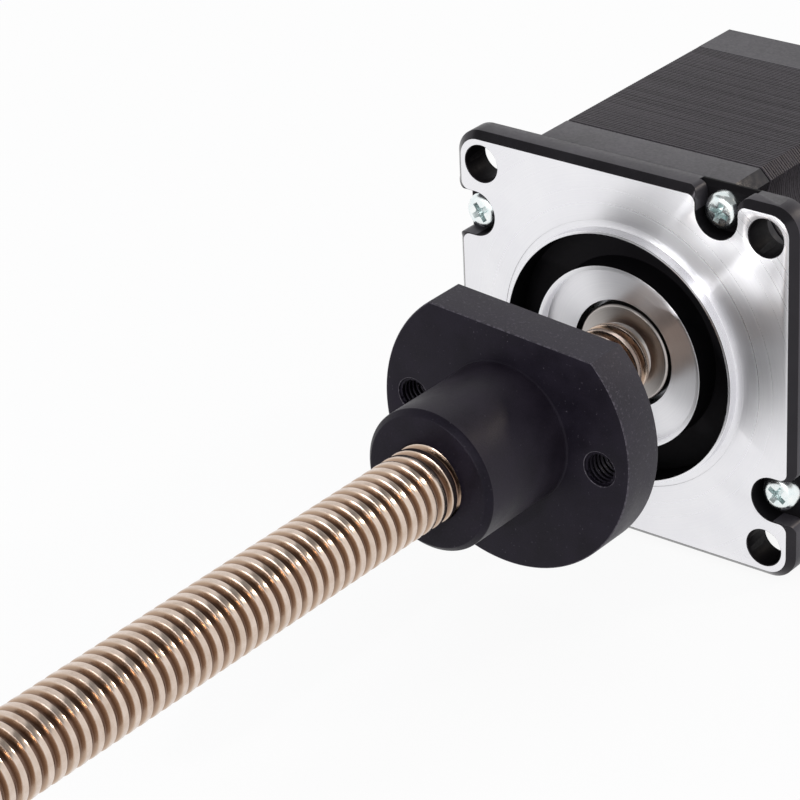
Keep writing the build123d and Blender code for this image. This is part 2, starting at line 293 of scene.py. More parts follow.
def plate(bm, loops, y_front, y_rear, face_slot=0, wall_slot=0, rear_slot=None, edge_slot=None, form=ROUNDED):
    """A flat body between two stations. Each loop comes with its front and its rear edge, as
    edge_rings takes them."""
    fronts = []
    rears = []
    for loop, front, rear in loops:
        front_rings = edge_rings(bm, loop, front, y_front, 1, form)
        rear_rings = edge_rings(bm, loop, rear, y_rear, -1, form)[::-1]
        rings = front_rings + rear_rings
        for n, (first, second) in enumerate(zip(rings, rings[1:])):
            in_edge = n < len(front_rings) - 1
            add_band(bm, first, second, edge_slot if in_edge and edge_slot is not None else wall_slot)
        fronts.append(rings[0])
        rears.append(rings[-1])
    add_cap(bm, fronts, face_slot)
    add_cap(bm, rears, wall_slot if rear_slot is None else rear_slot)


def softened(profile, radius):
    """A closed (radius, y) profile with each corner rounded."""
    points = []
    count = len(profile)
    for n in range(count):
        here = Vector(profile[n])
        back = Vector(profile[n - 1]) - here
        ahead = Vector(profile[(n + 1) % count]) - here
        reach = min(radius, back.length * 0.4, ahead.length * 0.4)
        if here.x < 1e-6 or reach < 1e-4:
            points.append(tuple(here))
            continue
        start = here + back.normalized() * reach
        end = here + ahead.normalized() * reach
        for k in range(4):
            t = k / 3
            points.append(tuple(start.lerp(here, t).lerp(here.lerp(end, t), t)))
    return points


def turned(bm, profile, slot=0, round_r=0.08, slot_at=None):
    """A closed body turned about the screw axis. slot_at gives a run's slot by its middle radius and y."""
    outline = softened(profile, round_r)
    columns = []
    for radius, y in outline:
        if radius < 1e-6:
            columns.append([bm.verts.new((0, y * MM, 0))])
        else:
            columns.append(add_ring(bm, ring(radius, ROUND_STEPS), y))
    for n, first in enumerate(columns):
        m = (n + 1) % len(columns)
        second = columns[m]
        middle_r = (outline[n][0] + outline[m][0]) / 2
        middle_y = (outline[n][1] + outline[m][1]) / 2
        chosen = slot_at(middle_r, middle_y) if slot_at else slot
        if len(first) == 1 and len(second) == 1:
            continue
        if len(first) == 1 or len(second) == 1:
            pole, rim = (first[0], second) if len(first) == 1 else (second[0], first)
            for k in range(len(rim)):
                bm.faces.new((pole, rim[k], rim[(k + 1) % len(rim)])).material_index = chosen
        else:
            add_band(bm, first, second, chosen)


def placed(name, mesh, sharp_deg=32):
    """The object made of a mesh, smooth with crisp edges."""
    mesh.shade_smooth()
    mesh.set_sharp_from_angle(angle=math.radians(sharp_deg))
    piece = bpy.data.objects.new(name, mesh)
    bpy.context.collection.objects.link(piece)
    return piece


def finished(name, bm, materials, sharp_deg=32):
    """The object made of the mesh in hand, welded and with outward faces."""
    bmesh.ops.remove_doubles(bm, verts=bm.verts, dist=1e-7)
    bmesh.ops.recalc_face_normals(bm, faces=bm.faces)
    mesh = bpy.data.meshes.new(name)
    bm.to_mesh(mesh)
    bm.free()
    for material in materials:
        mesh.materials.append(material)
    return placed(name, mesh, sharp_deg)


def near_any(spot, centres, radius):
    return any(math.dist((spot.x, spot.z), centre) < radius for centre in centres)


# Node helpers
def new_tree(name, sizes):
    """A geometry tree with named number inputs and one geometry output."""
    tree = bpy.data.node_groups.new(name, "GeometryNodeTree")
    tree.interface.new_socket("Geometry", in_out="INPUT", socket_type="NodeSocketGeometry")
    for label, value in sizes.items():
        kind = "NodeSocketInt" if isinstance(value, int) else "NodeSocketFloat"
        tree.interface.new_socket(label, in_out="INPUT", socket_type=kind).default_value = value
    tree.interface.new_socket("Geometry", in_out="OUTPUT", socket_type="NodeSocketGeometry")
    return tree, tree.nodes.new("NodeGroupInput"), tree.nodes.new("NodeGroupOutput")


def calc(tree, operation, *values):
    node = tree.nodes.new("ShaderNodeMath")
    node.operation = operation
    for socket, value in zip(node.inputs, values):
        if isinstance(value, bpy.types.NodeSocket):
            tree.links.new(value, socket)
        else:
            socket.default_value = value
    return node.outputs[0]


def close_tree(tree, geometry, output, material):
    realize = tree.nodes.new("GeometryNodeRealizeInstances")
    coat = tree.nodes.new("GeometryNodeSetMaterial")
    coat.inputs["Material"].default_value = material
    tree.links.new(geometry, realize.inputs[0])
    tree.links.new(realize.outputs[0], coat.inputs["Geometry"])
    tree.links.new(coat.outputs[0], output.inputs[0])


def grown(name, tree, base_mesh, sizes, materials):
    """The plain mesh that a geometry tree makes from a base mesh and its sizes."""
    carrier = bpy.data.objects.new(name + "_carrier", base_mesh)
    bpy.context.collection.objects.link(carrier)
    modifier = carrier.modifiers.new("shape", "NODES")
    modifier.node_group = tree
    sockets = {item.name: item.identifier for item in tree.interface.items_tree if item.in_out == "INPUT"}
    for label, value in sizes.items():
        modifier[sockets[label]] = value
    depsgraph = bpy.context.evaluated_depsgraph_get()
    mesh = bpy.data.meshes.new_from_object(carrier.evaluated_get(depsgraph))
    bpy.data.objects.remove(carrier)
    mesh.name = name
    mesh.materials.clear()
    for material in materials:
        mesh.materials.append(material)
    return mesh


# Materials
def surface(name, colour, metallic, roughness, **sockets):
    """A material with its shader, object coordinates in millimetres, and the tree to add its detail to."""
    material = bpy.data.materials.new(name)
    material.use_nodes = True
    tree = material.node_tree
    shader = tree.nodes["Principled BSDF"]
    shader.inputs["Base Color"].default_value = (*colour, 1)
    shader.inputs["Metallic"].default_value = metallic
    shader.inputs["Roughness"].default_value = roughness
    for label, value in sockets.items():
        shader.inputs[label.replace("_", " ")].default_value = value
    place = tree.nodes.new("ShaderNodeTexCoord")
    scale = tree.nodes.new("ShaderNodeMapping")
    scale.inputs["Scale"].default_value = (1000, 1000, 1000)
    tree.links.new(place.outputs["Object"], scale.inputs["Vector"])
    return material, tree, shader, scale.outputs[0]


def noise(tree, place, scale, detail=4, roughness=0.55, stretch=None):
    node = tree.nodes.new("ShaderNodeTexNoise")
    node.inputs["Scale"].default_value = scale
    node.inputs["Detail"].default_value = detail
    node.inputs["Roughness"].default_value = roughness
    if stretch:
        pull = tree.nodes.new("ShaderNodeMapping")
        pull.inputs["Scale"].default_value = stretch
        tree.links.new(place, pull.inputs["Vector"])
        place = pull.outputs[0]
    tree.links.new(place, node.inputs["Vector"])
    return node.outputs["Fac"]


def spread(tree, value, low, high, from_low=0.3, from_high=0.7):
    """A value moved to the range that a socket needs."""
    node = tree.nodes.new("ShaderNodeMapRange")
    node.inputs["From Min"].default_value = from_low
    node.inputs["From Max"].default_value = from_high
    node.inputs["To Min"].default_value = low
    node.inputs["To Max"].default_value = high
    tree.links.new(value, node.inputs["Value"])
    return node.outputs[0]


def blend(tree, value, first, second):
    """A colour between two, by a value from 0 to 1."""
    node = tree.nodes.new("ShaderNodeMix")
    node.data_type = "RGBA"
    for socket, colour in ((node.inputs[6], first), (node.inputs[7], second)):
        if isinstance(colour, bpy.types.NodeSocket):
            tree.links.new(colour, socket)
        else:
            socket.default_value = (*colour, 1)
    tree.links.new(value, node.inputs[0])
    return node.outputs[2]


def bumped(tree, shader, height, strength, distance):
    node = tree.nodes.new("ShaderNodeBump")
    node.inputs["Strength"].default_value = strength
    node.inputs["Distance"].default_value = distance
    tree.links.new(height, node.inputs["Height"])
    tree.links.new(node.outputs[0], shader.inputs["Normal"])


def two_tones(tree, shader, value, dark, light, from_low=0.3, from_high=0.7):
    """Gives the shader a colour between two, by a value."""
    tone = spread(tree, value, 0, 1, from_low, from_high)
    tree.links.new(blend(tree, tone, dark, light), shader.inputs["Base Color"])


def roughened(tree, shader, value, low, high):
    tree.links.new(spread(tree, value, low, high), shader.inputs["Roughness"])


def mixed(tree, first, second, share, rest):
    """Two values added, each with its share."""
    return calc(tree, "ADD", calc(tree, "MULTIPLY", first, share), calc(tree, "MULTIPLY", second, rest))


def turned_lines(tree, radius, scale, detail):
    """Noise that changes only with the distance from the axis, as the marks of a lathe do."""
    node = tree.nodes.new("ShaderNodeTexNoise")
    node.noise_dimensions = "1D"
    node.inputs["Scale"].default_value = scale
    node.inputs["Detail"].default_value = detail
    tree.links.new(radius, node.inputs["W"])
    return node.outputs["Fac"]


def axis_radius(tree, place):
    """Distance from the screw axis, in millimetres."""
    split = tree.nodes.new("ShaderNodeSeparateXYZ")
    tree.links.new(place, split.inputs[0])
    squares = [calc(tree, "MULTIPLY", split.outputs[n], split.outputs[n]) for n in (0, 2)]
    return calc(tree, "SQRT", calc(tree, "ADD", *squares))


def machined_aluminium():
    material, tree, shader, place = surface(
        "machined_aluminium", (0.8, 0.8, 0.82), 1.0, 0.4, Anisotropic=0.95, Anisotropic_Rotation=0.25)
    radius = axis_radius(tree, place)
    lines = turned_lines(tree, radius, 4.0, 5)
    tone = mixed(tree, lines, noise(tree, place, 0.12, 3), 0.4, 0.6)
    two_tones(tree, shader, tone, (0.84, 0.835, 0.87), (0.92, 0.915, 0.935))
    boss_to_pilot = spread(tree, radius, 0.3, 0.27, BOSS_R, RECESS_R - 0.1)
    pilot_to_face = spread(tree, radius, 0.0, 0.02, PILOT_R + 0.1, PILOT_R + 0.4)
    waver = spread(tree, lines, -0.02, 0.03)
    roughness = calc(tree, "ADD", calc(tree, "ADD", boss_to_pilot, pilot_to_face), waver)
    tree.links.new(roughness, shader.inputs["Roughness"])
    tangent = tree.nodes.new("ShaderNodeTangent")
    tangent.direction_type = "RADIAL"
    tangent.axis = "Y"
    tree.links.new(tangent.outputs[0], shader.inputs["Tangent"])
    bumped(tree, shader, lines, 0.025, 0.00002)
    return material


def black_coating(name, grey, roughness, grain, gloss):
    material, tree, shader, place = surface(
        name, (grey, grey, grey), 0.0, roughness, Specular_IOR_Level=gloss, Specular_Tint=(0.96, 0.91, 1, 1))
    fine = noise(tree, place, grain, 5)
    dark = (grey * 0.76, grey * 0.7, grey * 0.8)
    light = (grey * 1.32, grey * 1.2, grey * 1.42)
    two_tones(tree, shader, noise(tree, place, 0.15, 3), dark, light)
    roughened(tree, shader, fine, roughness - 0.06, roughness + 0.08)
    bumped(tree, shader, fine, 0.12, 0.00005)
    return material


def core_steel():
    material, tree, shader, place = surface(
        "core_steel", (0.03, 0.03, 0.032), 0.0, 0.45, Specular_IOR_Level=0.4, Specular_Tint=(0.97, 0.9, 1, 1))
    sheet = noise(tree, place, 1.0, 1, stretch=(0.02, 4.0, 0.02))
    speck = noise(tree, place, 3.0, 4, stretch=(1.0, 0.6, 1.0))
    tone = mixed(tree, sheet, speck, 0.5, 0.5)
    two_tones(tree, shader, tone, (0.008, 0.0065, 0.0078), (0.058, 0.051, 0.058), 0.38, 0.62)
    roughened(tree, shader, speck, 0.38, 0.58)
    bumped(tree, shader, speck, 0.2, 0.00006)
    return material


def warm_thread_metal():
    material, tree, shader, place = surface("warm_thread_metal", (0.6, 0.46, 0.37), 1.0, 0.2)
    radius = axis_radius(tree, place)
    # Colour by distance from the axis, dark brown at the root of the thread and light at the crest: the
    # darkening towards the root is painted shade in the grooves.
    depth = spread(tree, radius, 0, 1, SCREW_R - 0.25, SCREW_R - 0.03)
    tint = noise(tree, place, 0.5, 4)
    crest = blend(tree, spread(tree, tint, 0, 1), (0.58, 0.46, 0.38), (0.74, 0.62, 0.54))
    rise = spread(tree, radius, 0, 1, SCREW_R - 0.8, SCREW_R - 0.25)
    flank_painted_shade = blend(tree, rise, (0.2, 0.13, 0.1), (0.46, 0.33, 0.24))
    tree.links.new(blend(tree, depth, flank_painted_shade, crest), shader.inputs["Base Color"])
    scratch = noise(tree, place, 1.2, 5, stretch=(1, 6, 1))
    roughened(tree, shader, scratch, 0.12, 0.26)
    bumped(tree, shader, scratch, 0.08, 0.00004)
    return material


def collar_steel():
    material, tree, shader, place = surface("collar_steel", (0.5, 0.46, 0.45), 1.0, 0.25)
    rings = turned_lines(tree, axis_radius(tree, place), 5.0, 2)
    two_tones(tree, shader, rings, (0.46, 0.43, 0.41), (0.5, 0.465, 0.445))
    roughened(tree, shader, rings, 0.28, 0.36)
    return material


def nut_plastic(name, dark, light, gloss, roughness, dust_from):
    """Black plastic with fine specks. The fewer of them the higher dust_from is."""
    material, tree, shader, place = surface(
        name, dark, 0.0, roughness, Specular_IOR_Level=gloss, Specular_Tint=(0.93, 0.88, 1, 1))
    fine = noise(tree, place, 5.0, 6, 0.65)
    broad = noise(tree, place, 0.25, 4)
    body = blend(tree, spread(tree, mixed(tree, fine, broad, 0.5, 0.5), 0, 1), dark, light)
    dust = spread(tree, noise(tree, place, 2.6, 2), 0, 1, dust_from, dust_from + 0.1)
    tree.links.new(blend(tree, dust, body, (0.065, 0.058, 0.072)), shader.inputs["Base Color"])
    roughened(tree, shader, broad, roughness - 0.07, roughness + 0.08)
    bumped(tree, shader, fine, 0.3, 0.00008)
    return material


def zinc_plate():
    material, tree, shader, place = surface("zinc_plate", (0.85, 0.9, 0.9), 1.0, 0.15)
    patch = noise(tree, place, 0.9, 4)
    two_tones(tree, shader, patch, (0.8, 0.89, 0.9), (0.97, 0.99, 0.98))
    roughened(tree, shader, patch, 0.16, 0.32)
    bumped(tree, shader, noise(tree, place, 2.0, 3), 0.2, 0.0001)
    return material


def simple_finish(name, dark, light, metallic, roughness, grain, stretch=None, lift=0.15):
    """Finish of the inner pieces: two tones by grain, with its bump."""
    material, tree, shader, place = surface(name, dark, metallic, roughness)
    speck = noise(tree, place, grain, 4, stretch=stretch)
    two_tones(tree, shader, speck, dark, light)
    roughened(tree, shader, speck, roughness - 0.07, roughness + 0.07)
    bumped(tree, shader, speck, lift, 0.00006)
    return material


MACHINED = machined_aluminium()
GLOSS_BLACK = black_coating("gloss_black_coating", grey=0.009, roughness=0.16, grain=1.2, gloss=0.3)
SATIN_BLACK = black_coating("satin_black_coating", grey=0.036, roughness=0.4, grain=2.5, gloss=0.5)
# The same black coating made darker still, for the recess, the notch walls and the hole walls: painted shade.
RECESS_PAINTED_SHADE = black_coating("recess_painted_shade", grey=0.0045, roughness=0.5, grain=2.0, gloss=0.08)
CORE_STEEL = core_steel()
THREAD_METAL = warm_thread_metal()
COLLAR_STEEL = collar_steel()
# The nut's plastic comes in copies by face: the front darkest, the barrel a little lighter, the rim and flat
# lighter still, painted light on the faces turned to the lamps. The edge copy is the lightest and most
# specked: a painted highlight along the edges, with wear.
NUT_PLASTIC = nut_plastic("nut_plastic", (0.0035, 0.0028, 0.005), (0.013, 0.0105, 0.0175),
                          gloss=0.12, roughness=0.42, dust_from=0.69)
NUT_RIM_PAINTED_LIGHT = nut_plastic("nut_rim_painted_light", (0.014, 0.012, 0.0165), (0.042, 0.038, 0.049),
                              gloss=0.28, roughness=0.5, dust_from=0.6)
NUT_BARREL_PLASTIC = nut_plastic("nut_barrel_plastic", (0.006, 0.0045, 0.008), (0.02, 0.0155, 0.025),
                                 gloss=0.28, roughness=0.46, dust_from=0.72)
NUT_EDGE_HIGHLIGHT_AND_WEAR = nut_plastic("nut_edge_highlight_and_wear", (0.01, 0.0085, 0.012), (0.03, 0.027, 0.034),
                               gloss=0.4, roughness=0.4, dust_from=0.46)
ZINC = zinc_plate()
# Darker zinc for the cross recess in the screw heads: painted shade.
ZINC_RECESS_SHADE = simple_finish(
    "zinc_recess_painted_shade", (0.5, 0.58, 0.58), (0.86, 0.92, 0.92),
    metallic=1.0, roughness=0.3, grain=1.6)
RUBBER = simple_finish(
    "grommet_rubber", (0.015, 0.015, 0.016), (0.035, 0.035, 0.036),
    metallic=0.0, roughness=0.6, grain=3.0)
BEARING_STEEL = simple_finish(
    "ground_bearing_steel", (0.52, 0.52, 0.54), (0.68, 0.68, 0.7),
    metallic=1.0, roughness=0.22, grain=2.0, stretch=(0.3, 4, 0.3))
SPRING_STEEL = simple_finish(
    "rolled_spring_steel", (0.36, 0.37, 0.39), (0.52, 0.52, 0.54),
    metallic=1.0, roughness=0.32, grain=1.5)
COPPER = simple_finish(
    "enamelled_winding", (0.42, 0.13, 0.05), (0.7, 0.29, 0.12),
    metallic=1.0, roughness=0.3, grain=1.6, stretch=(0.6, 0.6, 5.0), lift=0.6)
MOULDED = simple_finish(
    "moulded_insulator", (0.66, 0.63, 0.53), (0.76, 0.73, 0.64),
    metallic=0.0, roughness=0.5, grain=0.8)
LAMINATE = simple_finish(
    "green_laminate", (0.015, 0.11, 0.04), (0.03, 0.18, 0.07),
    metallic=0.0, roughness=0.35, grain=1.2, stretch=(4, 1, 4))
MAGNET = simple_finish(
    "sintered_magnet", (0.05, 0.05, 0.055), (0.1, 0.1, 0.105),
    metallic=0.6, roughness=0.55, grain=2.0)
ROTOR_STEEL = simple_finish(
    "rotor_laminations", (0.2, 0.2, 0.21), (0.34, 0.33, 0.33),
    metallic=1.0, roughness=0.38, grain=1.0, stretch=(0.05, 4, 0.05), lift=0.4)


# Front housing: flange, pilot ring, recess, boss and bell
def front_housing():
    bm = bmesh.new()
    corners = [(x, z) for x in (-HOLE_PLACE, HOLE_PLACE) for z in (-HOLE_PLACE, HOLE_PLACE)]
    notches = four_sides([(NOTCH_X, NOTCH_Z)])
    middle = (hole(GROOVE_R, (0, 0), ROUND_STEPS), 0, 0)

    # The flange as far as its notches are deep, then the rest behind them
    machined_edge = (notched_square(FRONT_BEVEL, NOTCH_EDGE), notched_square_depths())
    loops = [(notched_square(), machined_edge, 0), middle]
    loops += [(hole(HOLE_R, corner), HOLE_FRONT_EDGE, 0) for corner in corners]
    plate(bm, loops, 0, NOTCH_DEPTH, FACE, SATIN, edge_slot=GLOSS, form=BEVELLED)
    mouths = (rounded_square(NOTCH_MOUTH_EDGE), rounded_square_depths())
    loops = [(rounded_square(), mouths, REAR_BEVEL), middle]
    loops += [(hole(HOLE_R, corner), 0, HOLE_REAR_EDGE) for corner in corners]
    plate(bm, loops, NOTCH_DEPTH, FLANGE_T, GLOSS, SATIN, form=BEVELLED)
    # Notch walls and hole walls take the darkest black: painted shade in them.
    for face in bm.faces:
        spot = face.calc_center_median() / MM
        in_notch = spot.y > 0.05 and near_any(spot, notches, NOTCH_R + 0.02)
        if in_notch or near_any(spot, corners, HOLE_R + 0.02):
            face.material_index = RECESS

    # The bell, with the darker gloss black in its hollow corners: painted shade there, as well as gloss
    bell_front = FLANGE_T - REAR_BEVEL - 0.05
    loops = [(scalloped_square(), 0, 0.1), (hole(BELL_CAVITY_R, (0, 0), ROUND_STEPS), 0, 0)]
    plate(bm, loops, bell_front, CORE_FRONT - JOINT_GAP, SATIN, SATIN)
    for face in bm.faces:
        spot = face.calc_center_median() / MM
        if spot.y > bell_front + 0.1 and min(abs(spot.x), abs(spot.z)) > TOP_FLAT:
            face.material_index = GLOSS

    # The recess ring and the inside of the bell take the darkest black: painted shade there.
    def slot_at(radius, y):
        in_recess = BOSS_R + 0.1 < radius < RECESS_R + 0.02 and y > -1.2
        return RECESS if in_recess or y > 0.8 else FACE

    turned(bm, [
        (BOSS_BORE_R, BOSS_FLOOR), (BOSS_RIM_R, BOSS_FLOOR), (BOSS_RIM_R, -BOSS_H), (BOSS_R, -BOSS_H),
        (BOSS_R, RECESS_DEPTH), (RECESS_R, RECESS_DEPTH), (RECESS_R, -PILOT_H), (PILOT_R, -PILOT_H),
        (PILOT_R, GROOVE_DEPTH), (GROOVE_R, GROOVE_DEPTH), (BELL_CAVITY_R, BELL_CAVITY_Y),
        (HUB_R, BELL_CAVITY_Y), (HUB_R, HUB_END), (BEARING_R, HUB_END), (BEARING_R, FRONT_BEARING_Y),
        (BOSS_BORE_R, FRONT_BEARING_Y),
    ], slot_at=slot_at)
    return finished("front_housing_body", bm, [MACHINED, GLOSS_BLACK, SATIN_BLACK, RECESS_PAINTED_SHADE])


# Core of stacked sheets, made as one sheet repeated along the axis
def stack_tree():
    tree, given, output = new_tree("sheet_stack", {"Sheets": SHEETS, "Pitch": 0.0005})
    line = tree.nodes.new("GeometryNodeMeshLine")
    offset = tree.nodes.new("ShaderNodeCombineXYZ")
    copies = tree.nodes.new("GeometryNodeInstanceOnPoints")
    tree.links.new(given.outputs["Sheets"], line.inputs["Count"])
    tree.links.new(given.outputs["Pitch"], offset.inputs["Y"])
    tree.links.new(offset.outputs[0], line.inputs["Offset"])
    tree.links.new(line.outputs[0], copies.inputs["Points"])
    tree.links.new(given.outputs["Geometry"], copies.inputs["Instance"])
    close_tree(tree, copies.outputs[0], output, CORE_STEEL)
    return tree


def core_stack():
    pitch = (CORE_REAR - CORE_FRONT) / SHEETS
    bm = bmesh.new()
    loops = [(scalloped_square(SHEET_INSET), SHEET_EDGE, SHEET_EDGE), (hole(SHEET_BORE_R, (0, 0), 96), 0, 0)]
    plate(bm, loops, CORE_FRONT, CORE_FRONT + pitch * 0.98, form=STRAIGHT)
    bmesh.ops.recalc_face_normals(bm, faces=bm.faces)
    sheet = bpy.data.meshes.new("sheet")
    bm.to_mesh(sheet)
    bm.free()
    mesh = grown("core_sheets", stack_tree(), sheet, {"Sheets": SHEETS, "Pitch": pitch * MM}, [CORE_STEEL])
    return placed("core_sheets", mesh)


# Height of the thread form across one lead, from root 0 to crest 1
PROFILE = [
    (0.0, 1.0), (0.17, 1.0), (0.22, 0.93), (0.32, 0.1), (0.38, 0.0),
    (0.62, 0.0), (0.68, 0.1), (0.78, 0.93), (0.83, 1.0), (1.0, 1.0),
]
POINTS_ACROSS = 17
STEPS_PER_TURN = 64
WELD_M = 2e-6


# Helical thread: a strip one lead wide, wound round the axis and closed at both ends
def thread_tree(material):
    tree, given, output = new_tree("helical_thread", {
        "Turns": 10.0, "Rows": 100, "Lead": 0.002, "Crest": 0.005, "Depth": 0.001,
        "Start": 0.0, "Stop": 0.1, "Taper": 0.001,
    })
    size = given.outputs
    grid = tree.nodes.new("GeometryNodeMeshGrid")
    grid.inputs["Size X"].default_value = 1.0
    grid.inputs["Vertices X"].default_value = POINTS_ACROSS
    tree.links.new(size["Turns"], grid.inputs["Size Y"])
    tree.links.new(size["Rows"], grid.inputs["Vertices Y"])
    position = tree.nodes.new("GeometryNodeInputPosition")
    split = tree.nodes.new("ShaderNodeSeparateXYZ")
    tree.links.new(position.outputs[0], split.inputs[0])
    across = calc(tree, "ADD", split.outputs[0], 0.5)
    half_way = calc(tree, "SUBTRACT", calc(tree, "MULTIPLY", size["Turns"], 0.5), 1.0)
    turn = calc(tree, "ADD", split.outputs[1], half_way)
    angle = calc(tree, "MULTIPLY", turn, 2 * math.pi)
    reach = calc(tree, "MULTIPLY", calc(tree, "ADD", turn, calc(tree, "SUBTRACT", across, 1.0)), size["Lead"])
    free_y = calc(tree, "ADD", size["Start"], reach)
    kept_y = calc(tree, "MAXIMUM", size["Start"], calc(tree, "MINIMUM", free_y, size["Stop"]))
    shape = tree.nodes.new("ShaderNodeFloatCurve")
    curve = shape.mapping.curves[0]
    for place, height in PROFILE[1:-1]:
        curve.points.new(place, height)
    curve.points[0].location = PROFILE[0]
    curve.points[-1].location = PROFILE[-1]
    for point in curve.points:
        point.handle_type = "VECTOR"
    shape.mapping.update()
    tree.links.new(across, shape.inputs["Value"])
    cut = calc(tree, "MULTIPLY", calc(tree, "SUBTRACT", 1.0, shape.outputs[0]), size["Depth"])
    threaded = calc(tree, "SUBTRACT", size["Crest"], cut)
    from_start = calc(tree, "SUBTRACT", kept_y, size["Start"])
    from_stop = calc(tree, "SUBTRACT", size["Stop"], kept_y)
    near_end = calc(tree, "MINIMUM", from_start, from_stop)
    cone = calc(tree, "ADD", calc(tree, "SUBTRACT", size["Crest"], size["Taper"]), near_end)
    chamfered = calc(tree, "MINIMUM", threaded, cone)
    beyond = calc(tree, "ABSOLUTE", calc(tree, "SUBTRACT", free_y, kept_y))
    closing = calc(tree, "DIVIDE", beyond, calc(tree, "MULTIPLY", size["Lead"], 0.9))
    shrink = calc(tree, "MAXIMUM", 0.0, calc(tree, "SUBTRACT", 1.0, closing))
    radius = calc(tree, "MULTIPLY", chamfered, shrink)
    point = tree.nodes.new("ShaderNodeCombineXYZ")
    tree.links.new(calc(tree, "MULTIPLY", radius, calc(tree, "SINE", angle)), point.inputs[0])
    tree.links.new(kept_y, point.inputs[1])
    tree.links.new(calc(tree, "MULTIPLY", radius, calc(tree, "COSINE", angle)), point.inputs[2])
    move = tree.nodes.new("GeometryNodeSetPosition")
    tree.links.new(grid.outputs["Mesh"], move.inputs["Geometry"])
    tree.links.new(point.outputs[0], move.inputs["Position"])
    weld = tree.nodes.new("GeometryNodeMergeByDistance")
    weld.inputs["Distance"].default_value = WELD_M
    tree.links.new(move.outputs[0], weld.inputs["Geometry"])
    close_tree(tree, weld.outputs[0], output, material)
    return tree


def thread_mesh(name, material, crest, depth, lead, start, stop, taper):
    turns = math.ceil((stop - start) / lead) + 3
    sizes = {
        "Turns": float(turns), "Rows": turns * STEPS_PER_TURN + 1, "Lead": lead * MM, "Crest": crest * MM,
        "Depth": depth * MM, "Start": start * MM, "Stop": stop * MM, "Taper": taper * MM,
    }
    return grown(name, thread_tree(material), bpy.data.meshes.new("empty"), sizes, [material])


def lead_screw():
    mesh = thread_mesh(
        "screw_thread", THREAD_METAL, SCREW_R, THREAD_DEPTH, LEAD, SCREW_END, 0.1, SCREW_CHAMFER)
    bm = bmesh.new()
    bm.from_mesh(mesh)
    bmesh.ops.recalc_face_normals(bm, faces=bm.faces)
    turned(bm, [
        (0, -0.2), (RUNOUT_R - 0.3, -0.2), (RUNOUT_R, COLLAR_FRONT), (COLLAR_R - 0.3, COLLAR_FRONT),
        (COLLAR_R, COLLAR_FRONT + 0.3), (COLLAR_R, COLLAR_BACK), (SHOULDER_R, COLLAR_BACK),
        (SHOULDER_R, FRONT_BEARING_Y), (JOURNAL_R, FRONT_BEARING_Y), (JOURNAL_R, JOURNAL_END - 0.5),
        (JOURNAL_R - 0.5, JOURNAL_END), (0, JOURNAL_END),
    ], slot=COLLAR, round_r=0.12)
    return finished("lead_screw_body", bm, [THREAD_METAL, COLLAR_STEEL], 40)


# Drive nut: flange with one flat and two tapped holes, and a barrel
def nut_outline():
    half_chord = math.sqrt(NUT_FLANGE_R ** 2 - NUT_FLAT ** 2)
    right = math.degrees(math.atan2(NUT_FLAT, half_chord))
    points = arc(0, 0, NUT_FLANGE_R, 180 - right, 360 + right, 170)
    points += [(half_chord * (1 - 2 * n / 24), NUT_FLAT) for n in range(1, 24)]
    return points


def add_tapped_thread(bm, x):
    """The thread that lines a tapped hole, open at both ends."""
    mesh = thread_mesh(
        "tapped_thread", NUT_PLASTIC, TAPPED_R + 0.02, TAPPED_DEPTH, TAPPED_PITCH,
        NUT_FLANGE_FRONT + 0.3, NUT_REAR - 0.3, 0.0)
    part = bmesh.new()
    part.from_mesh(mesh)
    end_r = (TAPPED_R - 0.5) * MM
    ends = [f for f in part.faces if min(math.hypot(v.co.x, v.co.z) for v in f.verts) < end_r]
    bmesh.ops.delete(part, geom=ends, context="FACES")
    bmesh.ops.solidify(part, geom=part.faces, thickness=0.02 * MM)
    bmesh.ops.translate(part, verts=part.verts, vec=(x * MM, 0, 0))
    part.to_mesh(mesh)
    part.free()
    bm.from_mesh(mesh)


